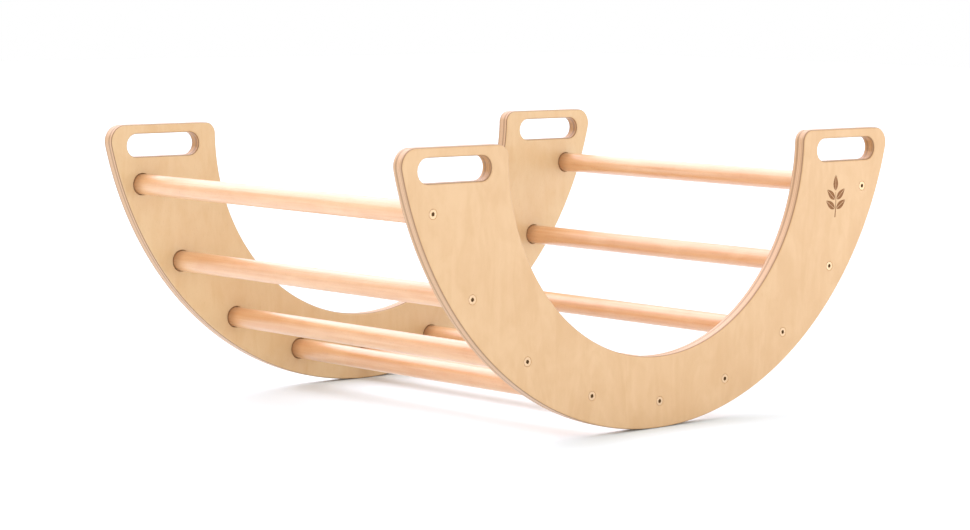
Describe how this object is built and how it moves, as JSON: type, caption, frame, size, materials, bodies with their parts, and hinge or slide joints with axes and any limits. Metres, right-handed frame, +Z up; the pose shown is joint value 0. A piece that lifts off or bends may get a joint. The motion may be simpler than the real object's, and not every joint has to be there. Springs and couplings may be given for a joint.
{
  "type": "rocking climbing arch",
  "caption": "Wooden children's rocker with two U-shaped plywood side panels, hand slots in the horns, and round rungs between them; it turns over into a climbing arch.",
  "frame": {"origin": "on the floor, midway between the lowest points of the two rocking edges", "axes": "+X along the rocking direction, +Y along the rungs from the front panel to the rear panel, +Z up"},
  "size_m": [0.895, 0.604, 0.3779],
  "materials": {
    "birch_plywood": "sanded birch plywood under a clear matt lacquer",
    "beech_dowel": "turned beech under a clear satin lacquer",
    "screw_steel": "bright nickel-plated steel",
    "insert_steel": "yellow zinc-plated steel"
  },
  "bodies": {
    "root": {"side_panel_front": "birch_plywood", "side_panel_rear": "birch_plywood", "rung_1": "beech_dowel", "screw_front_1": "screw_steel", "screw_rear_1": "screw_steel", "insert_front_1": "insert_steel", "insert_rear_1": "insert_steel", "rung_2": "beech_dowel", "screw_front_2": "screw_steel", "screw_rear_2": "screw_steel", "insert_front_2": "insert_steel", "insert_rear_2": "insert_steel", "rung_3": "beech_dowel", "screw_front_3": "screw_steel", "screw_rear_3": "screw_steel", "insert_front_3": "insert_steel", "insert_rear_3": "insert_steel", "rung_4": "beech_dowel", "screw_front_4": "screw_steel", "screw_rear_4": "screw_steel", "insert_front_4": "insert_steel", "insert_rear_4": "insert_steel", "rung_5": "beech_dowel", "screw_front_5": "screw_steel", "screw_rear_5": "screw_steel", "insert_front_5": "insert_steel", "insert_rear_5": "insert_steel", "rung_6": "beech_dowel", "screw_front_6": "screw_steel", "screw_rear_6": "screw_steel", "insert_front_6": "insert_steel", "insert_rear_6": "insert_steel", "rung_7": "beech_dowel", "screw_front_7": "screw_steel", "screw_rear_7": "screw_steel", "insert_front_7": "insert_steel", "insert_rear_7": "insert_steel", "rung_8": "beech_dowel", "screw_front_8": "screw_steel", "screw_rear_8": "screw_steel", "insert_front_8": "insert_steel", "insert_rear_8": "insert_steel", "rung_9": "beech_dowel", "screw_front_9": "screw_steel", "screw_rear_9": "screw_steel", "insert_front_9": "insert_steel", "insert_rear_9": "insert_steel"}
  },
  "joints": []
}
